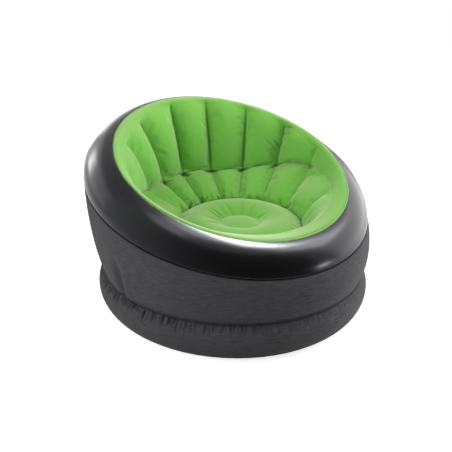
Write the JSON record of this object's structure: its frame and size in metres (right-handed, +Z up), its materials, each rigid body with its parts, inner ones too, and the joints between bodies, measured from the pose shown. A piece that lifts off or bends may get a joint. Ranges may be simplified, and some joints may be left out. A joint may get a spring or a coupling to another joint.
{
  "type": "inflatable chair",
  "caption": "Round inflatable tub chair with a channelled flocked bowl, a round seat, a glossy rim band and a fabric-faced base ring, with a two-stage air valve low at the back.",
  "frame": {"origin": "middle of the footprint on the floor", "axes": "+Z up, the chair faces -Y, +X to the right of a person who looks at the chair from its front"},
  "size_m": [1.094, 1.1234, 0.69],
  "materials": {
    "green_flock": "short green flock on vinyl film",
    "gloss_vinyl": "glossy black vinyl film",
    "wall_fabric": "charcoal woven-look face on vinyl film",
    "base_vinyl": "matt black vinyl film",
    "inner_vinyl": "matt dark vinyl film",
    "valve_vinyl": "soft moulded black vinyl"
  },
  "bodies": {
    "chair": {"bottom_sheet": "base_vinyl", "base_wall": "wall_fabric", "side_wall": "wall_fabric", "rim_band": "gloss_vinyl", "backrest_panel": "green_flock", "seat_panel": "green_flock", "seat_centre_panel": "green_flock", "waist_sheet": "inner_vinyl", "seat_ring_beam": "inner_vinyl", "base_ring_beam": "inner_vinyl", "button_beam": "inner_vinyl", "seam_web_01": "inner_vinyl", "seam_web_02": "inner_vinyl", "seam_web_03": "inner_vinyl", "seam_web_04": "inner_vinyl", "seam_web_05": "inner_vinyl", "seam_web_06": "inner_vinyl", "seam_web_07": "inner_vinyl", "seam_web_08": "inner_vinyl", "seam_web_09": "inner_vinyl", "seam_web_10": "inner_vinyl", "seam_web_11": "inner_vinyl", "seam_web_12": "inner_vinyl", "seam_web_13": "inner_vinyl", "seam_web_14": "inner_vinyl", "seam_web_15": "inner_vinyl", "seam_web_16": "inner_vinyl", "valve_body": "valve_vinyl", "plug_strap": "valve_vinyl"},
    "plug": {"deflate_plug": "valve_vinyl", "cap_strap": "valve_vinyl"},
    "flap": {"check_flap": "valve_vinyl"},
    "cap": {"inflate_cap": "valve_vinyl"}
  },
  "joints": [
    {"name": "plug_pull", "type": "slide", "parent": "chair", "child": "plug", "axis": [-0.0433, 0.8805, -0.472], "range_m": [0, 0.04], "deforming": ["plug_strap"]},
    {"name": "cap_swing", "type": "hinge", "parent": "plug", "child": "cap", "pos_m": [-0.02653, 0.50035, 0.2019], "axis": [0.9988, 0.0491, 0], "range_deg": [0, 135], "deforming": ["cap_strap"]},
    {"name": "flap_open", "type": "hinge", "parent": "plug", "child": "flap", "pos_m": [-0.02582, 0.48602, 0.20561], "axis": [-0.9988, -0.0491, 0], "range_deg": [0, 50], "stiffness_Nm_per_rad": 0.002}
  ]
}
